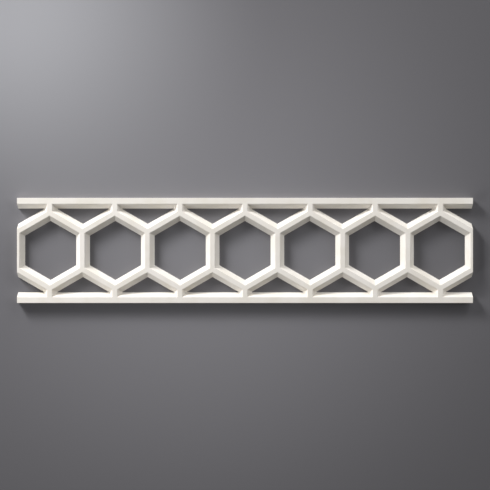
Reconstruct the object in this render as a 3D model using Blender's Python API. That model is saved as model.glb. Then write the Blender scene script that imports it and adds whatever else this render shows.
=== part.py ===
"""Pierced honeycomb moulding, a frieze cast as one piece: seven hexagonal cells in a row between
two straight rails.

The back lies in the plane y = 0 and the front faces -Y. X runs along the length and Z is up. The
origin is on the back of the lower rail, at mid-length and mid-width of the rail.
"""

import math

import bmesh
import bpy

# Driving dimensions, in metres
CELL_COUNT = 7
CELL_PITCH = 0.137  # from the middle of one upright bar to the middle of the next
HEIGHT = 0.221  # over both rails
DEPTH = 0.017  # from the back to the front faces
SIDE_DEPTH = 0.002  # the square part of every side, from the back to the foot of the slope
BAR_FLAT = 0.0102  # width of a bar's front face
RAIL_FLAT = 0.0126  # width of a rail's front face
SLOPE_RUN = 0.0093  # how far a sloped side spreads, seen from the front
WELD = 0.000001  # corners nearer to each other than this are one

# Worked out from them
LENGTH = CELL_COUNT * CELL_PITCH
CELL_SIDE = CELL_PITCH / math.sqrt(3)  # side of the regular hexagon that the bars' middles follow
RAIL_WIDTH = RAIL_FLAT + SLOPE_RUN
MIDDLE_Z = (HEIGHT - RAIL_WIDTH) / 2
TOP_Z = MIDDLE_Z + HEIGHT / 2
BOTTOM_Z = MIDDLE_Z - HEIGHT / 2

# How far each kind of side stands in from its line, at the front face and at the foot of the slope.
# A bar's line is its middle, a rail's is its outer edge, and an end is a plain saw cut.
INSETS = {
    "bar": (BAR_FLAT / 2, BAR_FLAT / 2 + SLOPE_RUN),
    "rail": (RAIL_FLAT, RAIL_WIDTH),
    "end": (0.0, 0.0),
}

PRIMER_COLOUR = (0.87, 0.84, 0.78, 1.0)
PRIMER_ROUGHNESS = 0.6


def clear_scene():
    for obj in list(bpy.data.objects):
        bpy.data.objects.remove(obj, do_unlink=True)


def primer_material():
    material = bpy.data.materials.new("white_primed_polyurethane")
    material.use_nodes = True
    shader = material.node_tree.nodes["Principled BSDF"]
    shader.inputs["Base Color"].default_value = PRIMER_COLOUR
    shader.inputs["Roughness"].default_value = PRIMER_ROUGHNESS
    shader.inputs["Metallic"].default_value = 0.0
    return material


def upright_x(number):
    """Middle of an upright bar, 0 at the left end and CELL_COUNT at the right end."""
    return number * CELL_PITCH - LENGTH / 2


def cell_outline(number):
    """The hexagon that the middles of a cell's bars follow, anticlockwise seen from the front."""
    left = upright_x(number)
    middle = left + CELL_PITCH / 2
    right = left + CELL_PITCH
    corners = [
        (right, MIDDLE_Z - CELL_SIDE / 2),
        (right, MIDDLE_Z + CELL_SIDE / 2),
        (middle, MIDDLE_Z + CELL_SIDE),
        (left, MIDDLE_Z + CELL_SIDE / 2),
        (left, MIDDLE_Z - CELL_SIDE / 2),
        (middle, MIDDLE_Z - CELL_SIDE),
    ]
    return corners, ["bar"] * 6


def rail_gap_outline(number, side):
    """The gap over (side 1) or under (side -1) one upright bar: between its two sloping bars, the
    short stubs on either side and the rail. At the two ends of the length only half of it is there."""
    middle = upright_x(number)
    rail_z = MIDDLE_Z + side * HEIGHT / 2
    tip_z = MIDDLE_Z + side * CELL_SIDE
    fork = (middle, MIDDLE_Z + side * CELL_SIDE / 2)
    left = middle - CELL_PITCH / 2
    right = middle + CELL_PITCH / 2
    if number == 0:
        corners = [fork, (right, tip_z), (right, rail_z), (middle, rail_z)]
        kinds = ["bar", "bar", "rail", "end"]
    elif number == CELL_COUNT:
        corners = [fork, (middle, rail_z), (left, rail_z), (left, tip_z)]
        kinds = ["end", "rail", "bar", "bar"]
    else:
        corners = [fork, (right, tip_z), (right, rail_z), (left, rail_z), (left, tip_z)]
        kinds = ["bar", "bar", "rail", "bar", "bar"]
    if side < 0:
        corners = corners[:1] + corners[:0:-1]
        kinds = kinds[::-1]
    return corners, kinds


def inset_corners(corners, distances):
    """The outline with each side moved inwards by its own distance. Side i runs from corner i."""
    count = len(corners)
    lines = []
    for i, distance in enumerate(distances):
        (x0, z0), (x1, z1) = corners[i], corners[(i + 1) % count]
        run = math.hypot(x1 - x0, z1 - z0)
        normal = ((z0 - z1) / run, (x1 - x0) / run)
        lines.append((*normal, normal[0] * x0 + normal[1] * z0 + distance))
    found = []
    for i in range(count):
        a0, b0, c0 = lines[i - 1]
        a1, b1, c1 = lines[i]
        cross = a0 * b1 - a1 * b0
        found.append(((c0 * b1 - c1 * b0) / cross, (a0 * c1 - a1 * c0) / cross))
    return found


def opening_rings(corners, kinds):
    """The five outlines that a bar's surface passes through on its way from front to back."""
    front = inset_corners(corners, [INSETS[kind][0] for kind in kinds])
    foot = inset_corners(corners, [INSETS[kind][1] for kind in kinds])
    return [(corners, -DEPTH), (front, -DEPTH), (foot, -SIDE_DEPTH), (foot, 0.0), (corners, 0.0)]


def add_opening(bm, corners, kinds):
    """Half of each bar round one opening: front face, slope, square side and back, mitred at the
    corners. The halves meet their neighbours along the bars' middle lines."""
    rings = [
        [bm.verts.new((x, y, z)) for x, z in outline]
        for outline, y in opening_rings(corners, kinds)
    ]
    for outer, inner in zip(rings, rings[1:]):
        for i, kind in enumerate(kinds):
            j = (i + 1) % len(kinds)
            if kind != "end":
                bm.faces.new((outer[i], outer[j], inner[j], inner[i]))


def add_rail_edge(bm, z):
    """The square outer side of one rail, divided where the stubs meet it."""
    stubs = [upright_x(number) + CELL_PITCH / 2 for number in range(CELL_COUNT)]
    places = [-LENGTH / 2, *stubs, LENGTH / 2]
    for x0, x1 in zip(places, places[1:]):
        corners = ((x0, -DEPTH), (x1, -DEPTH), (x1, 0.0), (x0, 0.0))
        bm.faces.new([bm.verts.new((x, y, z)) for x, y in corners])


def moulding_mesh():
    bm = bmesh.new()
    for number in range(CELL_COUNT):
        add_opening(bm, *cell_outline(number))
    for number in range(CELL_COUNT + 1):
        for side in (1, -1):
            add_opening(bm, *rail_gap_outline(number, side))
    add_rail_edge(bm, TOP_Z)
    add_rail_edge(bm, BOTTOM_Z)
    bmesh.ops.remove_doubles(bm, verts=bm.verts, dist=WELD)
    bmesh.ops.edgeloop_fill(bm, edges=[edge for edge in bm.edges if edge.is_boundary])
    bmesh.ops.recalc_face_normals(bm, faces=bm.faces)
    mesh = bpy.data.meshes.new("honeycomb_moulding")
    bm.to_mesh(mesh)
    bm.free()
    return mesh


def build():
    clear_scene()
    moulding = bpy.data.objects.new("honeycomb_moulding", moulding_mesh())
    moulding.data.materials.append(primer_material())
    bpy.context.scene.collection.objects.link(moulding)


build()
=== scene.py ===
"""A pierced honeycomb moulding: one casting in rigid polyurethane foam with a matte off-white skin of
primer, cut square at both ends and made to be fixed flat by its back.

X runs along the length, Z is up and the front faces -Y. All lengths are in metres.
"""

import math

import bmesh
import bpy
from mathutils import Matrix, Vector


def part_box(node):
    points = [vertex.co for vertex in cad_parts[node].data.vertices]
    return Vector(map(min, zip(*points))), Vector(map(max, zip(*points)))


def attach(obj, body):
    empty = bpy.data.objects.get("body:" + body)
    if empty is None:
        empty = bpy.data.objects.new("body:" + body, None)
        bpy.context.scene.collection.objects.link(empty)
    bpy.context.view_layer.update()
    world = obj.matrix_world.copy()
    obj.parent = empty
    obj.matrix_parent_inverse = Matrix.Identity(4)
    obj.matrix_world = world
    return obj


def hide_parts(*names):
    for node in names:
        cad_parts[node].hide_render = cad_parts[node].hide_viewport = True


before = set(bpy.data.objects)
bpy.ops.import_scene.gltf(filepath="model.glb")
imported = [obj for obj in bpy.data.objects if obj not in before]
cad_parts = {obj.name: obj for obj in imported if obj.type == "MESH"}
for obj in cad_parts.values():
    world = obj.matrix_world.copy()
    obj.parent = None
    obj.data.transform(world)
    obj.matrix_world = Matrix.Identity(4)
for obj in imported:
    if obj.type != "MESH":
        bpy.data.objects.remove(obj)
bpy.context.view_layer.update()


# The moulding
# One casting in rigid polyurethane foam: a row of hexagonal cells between two straight rails, every
# bar with a flat face and sloping sides. The mould repeats one bay, from the middle of one upright
# bar to the middle of the next, and the cast length is sawn square through two upright bars.
moulding_low, moulding_high = [Vector(corner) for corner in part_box("honeycomb_moulding")]
LENGTH, DEPTH, HEIGHT = moulding_high - moulding_low
MIDDLE_Z = (moulding_low.z + moulding_high.z) / 2
CELLS = 7
CELL_PITCH = LENGTH / CELLS
SIDE_DEPTH = 0.002  # the square part of each side, between the back and the slope
BAR_FACE = 0.0102
RAIL_FACE = 0.0126
SLOPE_RUN = 0.0093  # how far a slope spreads, seen from the front
ARRIS_RADIUS = 0.0006
ARRIS_TURN = math.radians(20)  # where two faces turn by more than this, their arris is eased
ARRIS_SEGMENTS = 3
WELD = 0.00001  # points nearer to each other than this are one


def add_node(tree, kind, inputs=None, **settings):
    """Adds a node with its settings. Each input is a plain value, or the output socket that feeds it."""
    node = tree.nodes.new(kind)
    for name, value in settings.items():
        setattr(node, name, value)
    for key, value in (inputs or {}).items():
        if isinstance(value, bpy.types.NodeSocket):
            tree.links.new(value, node.inputs[key])
        else:
            node.inputs[key].default_value = value
    return node


def linear(code):
    """An sRGB hex colour as the linear RGBA that shaders take."""
    channels = [int(code[i : i + 2], 16) / 255 for i in (1, 3, 5)]
    turned = [c / 12.92 if c <= 0.04045 else ((c + 0.055) / 1.055) ** 2.4 for c in channels]
    return (*turned, 1.0)


def empty_material(name):
    """A new material, and its node tree with nothing in it yet."""
    material = bpy.data.materials.new(name)
    material.use_nodes = True
    material.node_tree.nodes.clear()
    return material, material.node_tree


# In-mould primer on polyurethane: an off-white water-based coat, matte and slightly chalky, with the
# faint pebbling of the mould's skin and a little warmth where the coat is thin.
PRIMER = "#F0EBE4"
PRIMER_THIN = "#EAE4DA"
PRIMER_PATCH = 0.045  # size of the areas where the coat is thicker or thinner
THINNING_FROM = 0.35  # the patches' noise, from 0 to 1, where the coat starts to thin
THINNEST_FROM = 0.7  # and where it is thinnest
PRIMER_IOR = 1.46
PRIMER_SMOOTHEST = 0.5  # roughness between the pebbles
PRIMER_ROUGHEST = 0.66  # and on top of them
PEBBLE = 0.0016  # width of one pebble of the skin
PEBBLE_HEIGHT = 0.00005
PEBBLE_STRENGTH = 0.6


def primer_on_foam():
    material, tree = empty_material("in_mould_primer_on_polyurethane")
    place = add_node(tree, "ShaderNodeTexCoord").outputs["Object"]
    patches = add_node(
        tree,
        "ShaderNodeTexNoise",
        {"Vector": place, "Scale": 1 / PRIMER_PATCH, "Detail": 3.0, "Roughness": 0.55},
    )
    thin = add_node(
        tree,
        "ShaderNodeMapRange",
        {"Value": patches.outputs["Fac"], "From Min": THINNING_FROM, "From Max": THINNEST_FROM},
        interpolation_type="SMOOTHSTEP",
    )
    colour = add_node(
        tree,
        "ShaderNodeMix",
        {0: thin.outputs["Result"], 6: linear(PRIMER), 7: linear(PRIMER_THIN)},
        data_type="RGBA",
    )
    pebbles = add_node(
        tree,
        "ShaderNodeTexNoise",
        {"Vector": place, "Scale": 1 / PEBBLE, "Detail": 2.0, "Roughness": 0.5},
    )
    roughness = add_node(
        tree,
        "ShaderNodeMapRange",
        {"Value": pebbles.outputs["Fac"], "To Min": PRIMER_SMOOTHEST, "To Max": PRIMER_ROUGHEST},
    )
    bump = add_node(
        tree,
        "ShaderNodeBump",
        {"Height": pebbles.outputs["Fac"], "Strength": PEBBLE_STRENGTH, "Distance": PEBBLE_HEIGHT},
    )
    shader = add_node(
        tree,
        "ShaderNodeBsdfPrincipled",
        {
            "Base Color": colour.outputs[2],
            "Roughness": roughness.outputs["Result"],
            "Normal": bump.outputs["Normal"],
            "IOR": PRIMER_IOR,
        },
    )
    add_node(tree, "ShaderNodeOutputMaterial", {"Surface": shader.outputs["BSDF"]})
    return material


# Bare polyurethane foam, on the back, which the mould's lid leaves unprimed, and on the sawn ends:
# paler than wood and a little yellow, dry, with fine pores.
FOAM = "#E6DCC4"
FOAM_PORE = "#CFC2A4"
FOAM_ROUGHNESS = 0.85
PORE = 0.0022  # from the middle of one pore to the next
PORE_DEPTH = 0.0002
PORE_BOTTOM = 0.08  # how far a pore's flat bottom reaches from its middle, in shares of PORE
PORE_RIM = 0.3  # and how far its rim does
PORE_STRENGTH = 0.5


def bare_foam():
    material, tree = empty_material("bare_polyurethane_foam")
    place = add_node(tree, "ShaderNodeTexCoord").outputs["Object"]
    pores = add_node(
        tree,
        "ShaderNodeTexVoronoi",
        {"Vector": place, "Scale": 1 / PORE, "Randomness": 1.0},
        feature="F1",
    )
    out_of_pore = add_node(
        tree,
        "ShaderNodeMapRange",
        {"Value": pores.outputs["Distance"], "From Min": PORE_BOTTOM, "From Max": PORE_RIM},
    ).outputs["Result"]
    colour = add_node(
        tree,
        "ShaderNodeMix",
        {0: out_of_pore, 6: linear(FOAM_PORE), 7: linear(FOAM)},
        data_type="RGBA",
    )
    bump = add_node(
        tree,
        "ShaderNodeBump",
        {"Height": out_of_pore, "Strength": PORE_STRENGTH, "Distance": PORE_DEPTH},
    )
    shader = add_node(
        tree,
        "ShaderNodeBsdfPrincipled",
        {
            "Base Color": colour.outputs[2],
            "Roughness": FOAM_ROUGHNESS,
            "Normal": bump.outputs["Normal"],
        },
    )
    add_node(tree, "ShaderNodeOutputMaterial", {"Surface": shader.outputs["BSDF"]})
    return material


def honeycomb_run():
    """The node tree of the whole run, before its rails and ends are closed. One cell is a hexagon
    pushed back ring by ring: across the face of its bars, down their slope, straight back, and out
    again behind them. Cells stand in three rows, and the rails' lines and the two saw cuts trim them."""
    tree = bpy.data.node_groups.new("honeycomb_run", "GeometryNodeTree")
    tree.interface.new_socket("Geometry", in_out="OUTPUT", socket_type="NodeSocketGeometry")
    tree.interface.new_socket("Cells", in_out="INPUT", socket_type="NodeSocketInt")
    for name in ("Half pitch", "Half height", "Middle", "Depth", "Side depth"):
        tree.interface.new_socket(name, in_out="INPUT", socket_type="NodeSocketFloat")
    for name in ("Half bar face", "Rail face", "Slope run"):
        tree.interface.new_socket(name, in_out="INPUT", socket_type="NodeSocketFloat")
    tree.interface.new_socket("Finish", in_out="INPUT", socket_type="NodeSocketMaterial")
    given = tree.nodes.new("NodeGroupInput").outputs
    half_pitch = given["Half pitch"]

    # The rings inside a cell's outline: half the opening's width, the step back from the ring
    # before, and how far the same ring lies inside a rail's outer edge
    at_face = add_node(
        tree, "ShaderNodeMath", {0: half_pitch, 1: given["Half bar face"]}, operation="SUBTRACT"
    ).outputs[0]
    at_foot = add_node(
        tree, "ShaderNodeMath", {0: at_face, 1: given["Slope run"]}, operation="SUBTRACT"
    ).outputs[0]
    rail_foot = add_node(
        tree, "ShaderNodeMath", {0: given["Rail face"], 1: given["Slope run"]}, operation="ADD"
    ).outputs[0]
    rise = add_node(
        tree, "ShaderNodeMath", {0: given["Depth"], 1: given["Side depth"]}, operation="SUBTRACT"
    ).outputs[0]
    rings = [
        (at_face, 0.0, given["Rail face"]),
        (at_foot, rise, rail_foot),
        (at_foot, given["Side depth"], rail_foot),
        (half_pitch, 0.0, 0.0),
    ]

    # One cell, from a flat hexagon that stands on a corner in the plane of the front faces
    cell_side = add_node(
        tree, "ShaderNodeMath", {0: half_pitch, 1: 2 / math.sqrt(3)}, operation="MULTIPLY"
    ).outputs[0]
    hexagon = add_node(
        tree, "GeometryNodeMeshCircle", {"Vertices": 6, "Radius": cell_side}, fill_type="NGON"
    )
    front_y = add_node(
        tree, "ShaderNodeMath", {0: given["Depth"], 1: -1.0}, operation="MULTIPLY"
    ).outputs[0]
    to_front = add_node(tree, "ShaderNodeCombineXYZ", {"Y": front_y})
    cell = add_node(
        tree,
        "GeometryNodeTransform",
        {
            "Geometry": hexagon.outputs[0],
            "Translation": to_front.outputs[0],
            "Rotation": (math.radians(90), math.radians(30), 0.0),
        },
    ).outputs[0]
    innermost = True
    across_before = half_pitch
    for across, back, in_from_rail in rings:
        step_back = add_node(tree, "ShaderNodeCombineXYZ", {"Y": back})
        ratio = add_node(
            tree, "ShaderNodeMath", {0: across, 1: across_before}, operation="DIVIDE"
        )
        pushed = add_node(
            tree,
            "GeometryNodeExtrudeMesh",
            {
                "Mesh": cell,
                "Selection": innermost,
                "Offset": step_back.outputs[0],
                "Offset Scale": 1.0,
                "Individual": False,
            },
        )
        innermost = pushed.outputs["Top"]
        drawn_in = add_node(
            tree,
            "GeometryNodeScaleElements",
            {"Geometry": pushed.outputs["Mesh"], "Selection": innermost, "Scale": ratio.outputs[0]},
        )
        cell = add_node(
            tree,
            "GeometryNodeStoreNamedAttribute",
            {
                "Geometry": drawn_in.outputs[0],
                "Selection": innermost,
                "Name": "in_from_rail",
                "Value": in_from_rail,
            },
            data_type="FLOAT",
            domain="POINT",
        ).outputs[0]
        across_before = across
    pierced = add_node(
        tree,
        "GeometryNodeDeleteGeometry",
        {"Geometry": cell, "Selection": innermost},
        domain="FACE",
    )

    # Three rows, one and a half cell sides apart. The outer two stand half a cell along and have one
    # cell more.
    rows = tree.nodes.new("GeometryNodeJoinGeometry")
    pitch = add_node(tree, "ShaderNodeMath", {0: half_pitch, 1: 2.0}, operation="MULTIPLY")
    along = add_node(tree, "ShaderNodeCombineXYZ", {"X": pitch.outputs[0]})
    for row, more in ((0, 0), (1, 1), (-1, 1)):
        count = add_node(tree, "ShaderNodeMath", {0: given["Cells"], 1: float(more)}, operation="ADD")
        half_run = add_node(
            tree, "ShaderNodeMath", {0: count.outputs[0], 1: 1.0}, operation="SUBTRACT"
        )
        first_x = add_node(
            tree, "ShaderNodeMath", {0: half_run.outputs[0], 1: half_pitch}, operation="MULTIPLY"
        )
        left_x = add_node(
            tree, "ShaderNodeMath", {0: first_x.outputs[0], 1: -1.0}, operation="MULTIPLY"
        )
        row_z = add_node(tree, "ShaderNodeMath", {0: cell_side, 1: 1.5 * row}, operation="MULTIPLY")
        start = add_node(
            tree, "ShaderNodeCombineXYZ", {"X": left_x.outputs[0], "Z": row_z.outputs[0]}
        )
        places = add_node(
            tree,
            "GeometryNodeMeshLine",
            {
                "Count": count.outputs[0],
                "Start Location": start.outputs[0],
                "Offset": along.outputs[0],
            },
            mode="OFFSET",
        )
        cells = add_node(
            tree,
            "GeometryNodeInstanceOnPoints",
            {"Points": places.outputs[0], "Instance": pierced.outputs[0]},
        )
        tree.links.new(cells.outputs[0], rows.inputs[0])
    real = add_node(tree, "GeometryNodeRealizeInstances", {"Geometry": rows.outputs[0]})

    # Every point past a saw cut or a rail's line is drawn back onto it
    half_length = add_node(
        tree, "ShaderNodeMath", {0: given["Cells"], 1: half_pitch}, operation="MULTIPLY"
    )
    own_inset = add_node(
        tree, "GeometryNodeInputNamedAttribute", {"Name": "in_from_rail"}, data_type="FLOAT"
    )
    rail_line = add_node(
        tree, "ShaderNodeMath", {0: given["Half height"], 1: own_inset.outputs[0]}, operation="SUBTRACT"
    )
    limit = add_node(
        tree,
        "ShaderNodeCombineXYZ",
        {"X": half_length.outputs[0], "Y": given["Depth"], "Z": rail_line.outputs[0]},
    ).outputs[0]
    opposite = add_node(
        tree, "ShaderNodeVectorMath", {0: limit, "Scale": -1.0}, operation="SCALE"
    )
    place = add_node(tree, "GeometryNodeInputPosition").outputs[0]
    below = add_node(tree, "ShaderNodeVectorMath", {0: place, 1: limit}, operation="MINIMUM")
    inside = add_node(
        tree,
        "ShaderNodeVectorMath",
        {0: below.outputs[0], 1: opposite.outputs[0]},
        operation="MAXIMUM",
    )
    trimmed = add_node(
        tree,
        "GeometryNodeSetPosition",
        {"Geometry": real.outputs[0], "Position": inside.outputs[0]},
    )

    # What lay outside the saw cuts is squeezed flat on them, and goes
    middle_of_face = add_node(tree, "ShaderNodeSeparateXYZ", {0: place})
    from_middle = add_node(
        tree, "ShaderNodeMath", {0: middle_of_face.outputs["X"]}, operation="ABSOLUTE"
    )
    short_of_cut = add_node(
        tree, "ShaderNodeMath", {0: half_length.outputs[0], 1: WELD}, operation="SUBTRACT"
    )
    flat = add_node(
        tree,
        "ShaderNodeMath",
        {0: from_middle.outputs[0], 1: short_of_cut.outputs[0]},
        operation="GREATER_THAN",
    )
    sawn = add_node(
        tree,
        "GeometryNodeDeleteGeometry",
        {"Geometry": trimmed.outputs[0], "Selection": flat.outputs[0]},
        domain="FACE",
    )
    welded = add_node(
        tree, "GeometryNodeMergeByDistance", {"Geometry": sawn.outputs[0], "Distance": WELD}
    )
    up = add_node(tree, "ShaderNodeCombineXYZ", {"Z": given["Middle"]})
    raised = add_node(
        tree,
        "GeometryNodeTransform",
        {"Geometry": welded.outputs[0], "Translation": up.outputs[0]},
    )
    plain = add_node(
        tree, "GeometryNodeRemoveAttribute", {"Geometry": raised.outputs[0], "Name": "in_from_rail"}
    )
    finished = add_node(
        tree, "GeometryNodeSetMaterial", {"Geometry": plain.outputs[0], "Material": given["Finish"]}
    )
    add_node(tree, "NodeGroupOutput", {"Geometry": finished.outputs[0]})
    return tree


primer = primer_on_foam()
foam = bare_foam()
run = bpy.data.objects.new("run", bpy.data.meshes.new("run"))
bpy.context.scene.collection.objects.link(run)
rows_of_cells = run.modifiers.new("rows_of_cells", "NODES")
rows_of_cells.node_group = honeycomb_run()
sizes = {
    "Cells": CELLS,
    "Half pitch": CELL_PITCH / 2,
    "Half height": HEIGHT / 2,
    "Middle": MIDDLE_Z,
    "Depth": DEPTH,
    "Side depth": SIDE_DEPTH,
    "Half bar face": BAR_FACE / 2,
    "Rail face": RAIL_FACE,
    "Slope run": SLOPE_RUN,
    "Finish": primer,
}
for socket in rows_of_cells.node_group.interface.items_tree:
    if socket.in_out == "INPUT":
        rows_of_cells[socket.identifier] = sizes[socket.name]
evaluated = run.evaluated_get(bpy.context.evaluated_depsgraph_get())
cast = bpy.data.meshes.new_from_object(evaluated)
bpy.data.objects.remove(run)


def put_in_order(parts, key):
    """Lists a mesh's parts in the order of their keys, so that every run lists them alike."""
    rank = {part: number for number, part in enumerate(sorted(parts, key=key))}
    parts.sort(key=rank.get)
    parts.index_update()


# The square outer sides of the two rails run straight back from the edge of their faces. The saw
# closes the two ends, and the back and the sawn ends are left as bare foam.
bm = bmesh.new()
bm.from_mesh(cast)
rail_edges = []
for edge in bm.edges:
    outermost = all(abs(v.co.z - MIDDLE_Z) > HEIGHT / 2 - WELD for v in edge.verts)
    if outermost and all(v.co.y < WELD - DEPTH for v in edge.verts):
        rail_edges.append(edge)
pulled = bmesh.ops.extrude_edge_only(bm, edges=rail_edges)["geom"]
corners = [part for part in pulled if isinstance(part, bmesh.types.BMVert)]
bmesh.ops.translate(bm, verts=corners, vec=(0.0, DEPTH, 0.0))
bmesh.ops.remove_doubles(bm, verts=bm.verts, dist=WELD)
bmesh.ops.edgeloop_fill(bm, edges=[edge for edge in bm.edges if edge.is_boundary])
bmesh.ops.recalc_face_normals(bm, faces=bm.faces)
for face in bm.faces:
    on_back = all(v.co.y > -WELD for v in face.verts)
    on_end = all(abs(v.co.x) > LENGTH / 2 - WELD for v in face.verts)
    face.material_index = int(on_back or on_end)
    face.smooth = True
put_in_order(bm.verts, lambda v: [round(c / WELD) for c in v.co])
put_in_order(bm.edges, lambda edge: sorted(v.index for v in edge.verts))
put_in_order(bm.faces, lambda face: sorted(v.index for v in face.verts))
bm.to_mesh(cast)
bm.free()
cast.materials.clear()
cast.materials.append(primer)
cast.materials.append(foam)
moulding = bpy.data.objects.new("cast_honeycomb_moulding", cast)
bpy.context.scene.collection.objects.link(moulding)
eased = moulding.modifiers.new("eased_arrises", "BEVEL")
eased.width = ARRIS_RADIUS
eased.segments = ARRIS_SEGMENTS
eased.limit_method = "ANGLE"
eased.angle_limit = ARRIS_TURN
eased.harden_normals = True
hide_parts("honeycomb_moulding")
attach(moulding, "root")


# The studio
# A grey paper backdrop stands close behind the moulding and takes its shadow. It has one side only,
# and from behind it is clear. A pale floor lies well below the picture, set cornerwise to the
# backdrop, so that its far edge looks level from behind.
# Painted light: the grey is painted paler in two soft pools, where the lamps light the paper most.
BACKDROP_EDGE = "#616063"
BACKDROP_PAINTED_LIGHT_MIDDLE = "#828185"
BACKDROP_PAINTED_LIGHT_CORNER = "#99999D"
MIDDLE_PAINTED_LIGHT_POOL = Vector((-0.071, 0.0, MIDDLE_Z + 0.026))  # painted light: the paper's grey is painted paler behind the run
MIDDLE_PAINTED_LIGHT_RADIUS = 0.82
CORNER_PAINTED_LIGHT_POOL = Vector((-0.448, 0.0, MIDDLE_Z + 0.467))  # and a second painted pool of light, palest towards the upper left
CORNER_PAINTED_LIGHT_RADIUS = 0.519
BACKDROP_GAP = 0.0004
BACKDROP_SIZE = 6.0
FLOOR = "#EDEBE7"
FLOOR_ROUGHNESS = 0.8
FLOOR_Z = MIDDLE_Z - 2.4
FLOOR_REACH = 7.4  # from its middle to a corner


def plane(name, corners, material):
    mesh = bpy.data.meshes.new(name)
    mesh.from_pydata(corners, [], [range(4)])
    mesh.materials.append(material)
    made = bpy.data.objects.new(name, mesh)
    bpy.context.scene.collection.objects.link(made)
    return made


def backdrop_paper_with_painted_light():
    material, tree = empty_material("backdrop_paper_with_painted_light")
    colour = linear(BACKDROP_EDGE)
    place = add_node(tree, "ShaderNodeTexCoord").outputs["Object"]
    # Each pool mixes the grey towards a paler colour near its middle. This is painted light, not the
    # paper's own tone.
    for painted_light_pool, radius, painted_light_colour in (
        (MIDDLE_PAINTED_LIGHT_POOL, MIDDLE_PAINTED_LIGHT_RADIUS, BACKDROP_PAINTED_LIGHT_MIDDLE),
        (CORNER_PAINTED_LIGHT_POOL, CORNER_PAINTED_LIGHT_RADIUS, BACKDROP_PAINTED_LIGHT_CORNER),
    ):
        away = add_node(tree, "ShaderNodeVectorMath", {0: place, 1: painted_light_pool}, operation="DISTANCE")
        in_painted_light = add_node(
            tree,
            "ShaderNodeMapRange",
            {"Value": away.outputs["Value"], "From Max": radius, "To Min": 1.0, "To Max": 0.0},
            interpolation_type="SMOOTHSTEP",
        )
        mixed = add_node(
            tree,
            "ShaderNodeMix",
            {0: in_painted_light.outputs["Result"], 6: colour, 7: linear(painted_light_colour)},
            data_type="RGBA",
        )
        colour = mixed.outputs[2]
    paper = add_node(tree, "ShaderNodeBsdfDiffuse", {"Color": colour})
    clear = add_node(tree, "ShaderNodeBsdfTransparent")
    behind = add_node(tree, "ShaderNodeNewGeometry").outputs["Backfacing"]
    sided = add_node(
        tree, "ShaderNodeMixShader", {0: behind, 1: paper.outputs[0], 2: clear.outputs[0]}
    )
    add_node(tree, "ShaderNodeOutputMaterial", {"Surface": sided.outputs[0]})
    return material


def floor_paint():
    material, tree = empty_material("floor_paint")
    shader = add_node(
        tree,
        "ShaderNodeBsdfPrincipled",
        {"Base Color": linear(FLOOR), "Roughness": FLOOR_ROUGHNESS},
    )
    add_node(tree, "ShaderNodeOutputMaterial", {"Surface": shader.outputs["BSDF"]})
    return material


half = BACKDROP_SIZE / 2
backdrop = plane(
    "backdrop",
    [
        (-half, BACKDROP_GAP, FLOOR_Z),
        (half, BACKDROP_GAP, FLOOR_Z),
        (half, BACKDROP_GAP, FLOOR_Z + BACKDROP_SIZE),
        (-half, BACKDROP_GAP, FLOOR_Z + BACKDROP_SIZE),
    ],
    backdrop_paper_with_painted_light(),
)
backdrop.visible_shadow = False
backdrop.visible_diffuse = False
backdrop.visible_glossy = False
floor = plane(
    "floor",
    [
        (0.0, -FLOOR_REACH, FLOOR_Z),
        (FLOOR_REACH, 0.0, FLOOR_Z),
        (0.0, FLOOR_REACH, FLOOR_Z),
        (-FLOOR_REACH, 0.0, FLOOR_Z),
    ],
    floor_paint(),
)
floor.visible_diffuse = False


# The light
# Two softboxes far to the upper left rake along the backdrop. Weaker and broader ones from above
# right, from the right and from the lower left lighten the other sides, and one lights the back.
# Hardly any light comes from all round, so that the corners beside the bars stay dark.
ROOM = "#FFFFFF"
ROOM_LIGHT = 0.03  # what the room gives the moulding
ROOM_SEEN = 0.55  # how pale the room looks where a view goes past the backdrop
centre = Vector((0.0, -DEPTH, MIDDLE_Z))


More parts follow.
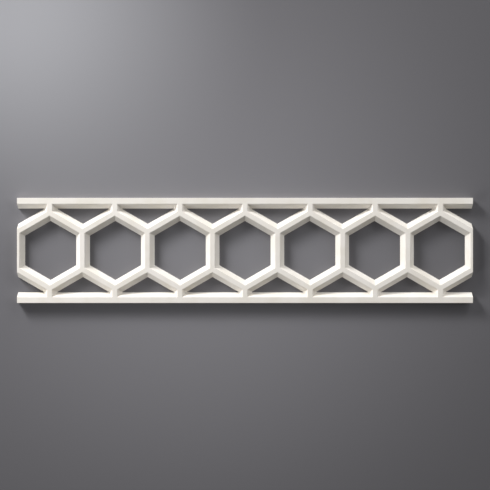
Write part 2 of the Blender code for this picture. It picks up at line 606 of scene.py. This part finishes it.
def softbox(name, off, turn, distance, size, power):
    """A square softbox aimed at the moulding. It stands off degrees from straight in front of it, in
    the direction turn degrees round from the right, seen from the front."""
    off = math.radians(off)
    turn = math.radians(turn)
    way = Vector((math.sin(off) * math.cos(turn), -math.cos(off), math.sin(off) * math.sin(turn)))
    light = bpy.data.lights.new(name, "AREA")
    light.shape = "SQUARE"
    light.size = size
    light.energy = power
    box = bpy.data.objects.new(name, light)
    box.location = centre + way * distance
    box.rotation_euler = way.to_track_quat("Z", "Y").to_euler()
    box.visible_camera = False
    bpy.context.scene.collection.objects.link(box)


softbox("key", off=67, turn=134, distance=3.2, size=1.06, power=88)
softbox("small_key", off=70, turn=128, distance=3.2, size=0.53, power=44)
softbox("fill_from_above_right", off=68, turn=60, distance=4.0, size=2.0, power=53)
softbox("fill_from_the_right", off=60, turn=20, distance=4.0, size=2.0, power=47)
softbox("fill_from_the_left", off=68, turn=207, distance=4.0, size=2.0, power=70)
softbox("back_light", off=155, turn=70, distance=6.0, size=2.0, power=240)

world = bpy.data.worlds.new("room")
world.use_nodes = True
world.node_tree.nodes.clear()
seen = add_node(world.node_tree, "ShaderNodeLightPath").outputs["Is Camera Ray"]
strength = add_node(
    world.node_tree,
    "ShaderNodeMapRange",
    {"Value": seen, "To Min": ROOM_LIGHT, "To Max": ROOM_SEEN},
)
glow = add_node(
    world.node_tree,
    "ShaderNodeBackground",
    {"Color": linear(ROOM), "Strength": strength.outputs["Result"]},
)
add_node(world.node_tree, "ShaderNodeOutputWorld", {"Surface": glow.outputs["Background"]})
bpy.context.scene.world = world
bpy.context.scene.view_settings.view_transform = "Standard"


# The camera
# It looks straight at the moulding's front, from a little above its middle, and stands as far away as
# the photograph's perspective of the sloped sides asks.
PHOTO_SIDE = 490  # pixels, as the next two are
LENGTH_PIXELS = 456.05
MIDDLE_PIXELS_DOWN = 250.5
LENS_MM = 94.0
SENSOR_MM = 36.0
pixel = LENGTH / LENGTH_PIXELS
camera_data = bpy.data.cameras.new("camera")
camera_data.lens = LENS_MM
camera_data.sensor_width = SENSOR_MM
camera = bpy.data.objects.new("camera", camera_data)
distance = LENS_MM / SENSOR_MM * PHOTO_SIDE * pixel
rise = (MIDDLE_PIXELS_DOWN - PHOTO_SIDE / 2) * pixel
camera.location = (0.0, -DEPTH - distance, MIDDLE_Z + rise)
camera.rotation_euler = (math.radians(90), 0.0, 0.0)
bpy.context.scene.collection.objects.link(camera)
bpy.context.scene.camera = camera
